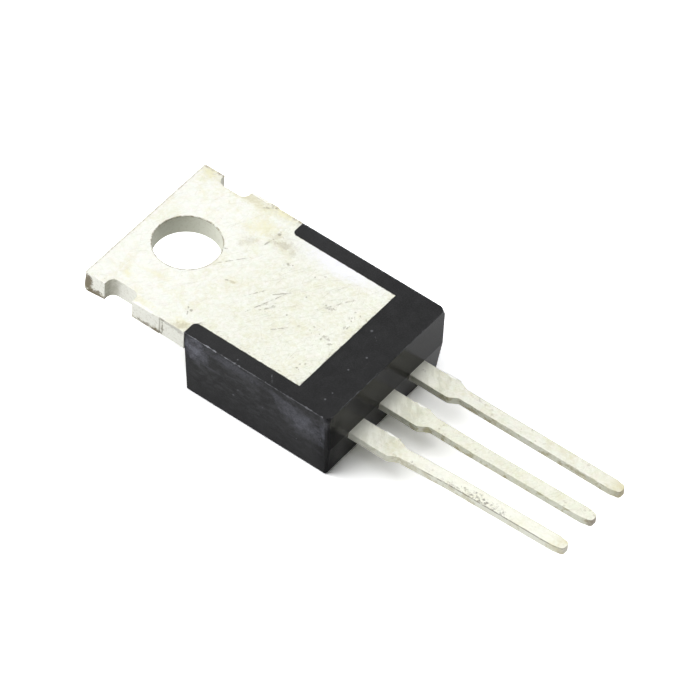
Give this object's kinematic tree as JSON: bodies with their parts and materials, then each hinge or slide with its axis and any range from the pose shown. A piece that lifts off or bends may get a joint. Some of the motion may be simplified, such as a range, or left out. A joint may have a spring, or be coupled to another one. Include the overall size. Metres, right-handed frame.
{
  "type": "negative voltage regulator",
  "caption": "Negative voltage regulator in a through-hole power package: black moulded body, bare metal tab with a mounting hole, and flat in-line leads.",
  "frame": {"origin": "centre of the mounting hole, on the mounting face of the tab", "axes": "+X out along the leads, +Y towards the ground lead, +Z out of the mounting face of the tab (up when the part lies on its plastic front)"},
  "size_m": [0.0288, 0.01, 0.0045],
  "materials": {
    "moulding": "matte, slightly worn",
    "tinned_copper": "matte tin plate",
    "silicon": "polished",
    "solder": "satin",
    "wire_aluminium": "bright"
  },
  "bodies": {
    "root": {"moulded_body": "moulding", "heat_sink_tab": "tinned_copper", "ground_lead": "tinned_copper", "output_lead": "tinned_copper", "silicon_die": "silicon", "die_attach_solder": "solder", "bond_wire_ground": "wire_aluminium", "bond_wire_output": "wire_aluminium", "bond_wire_input": "wire_aluminium"}
  },
  "joints": []
}
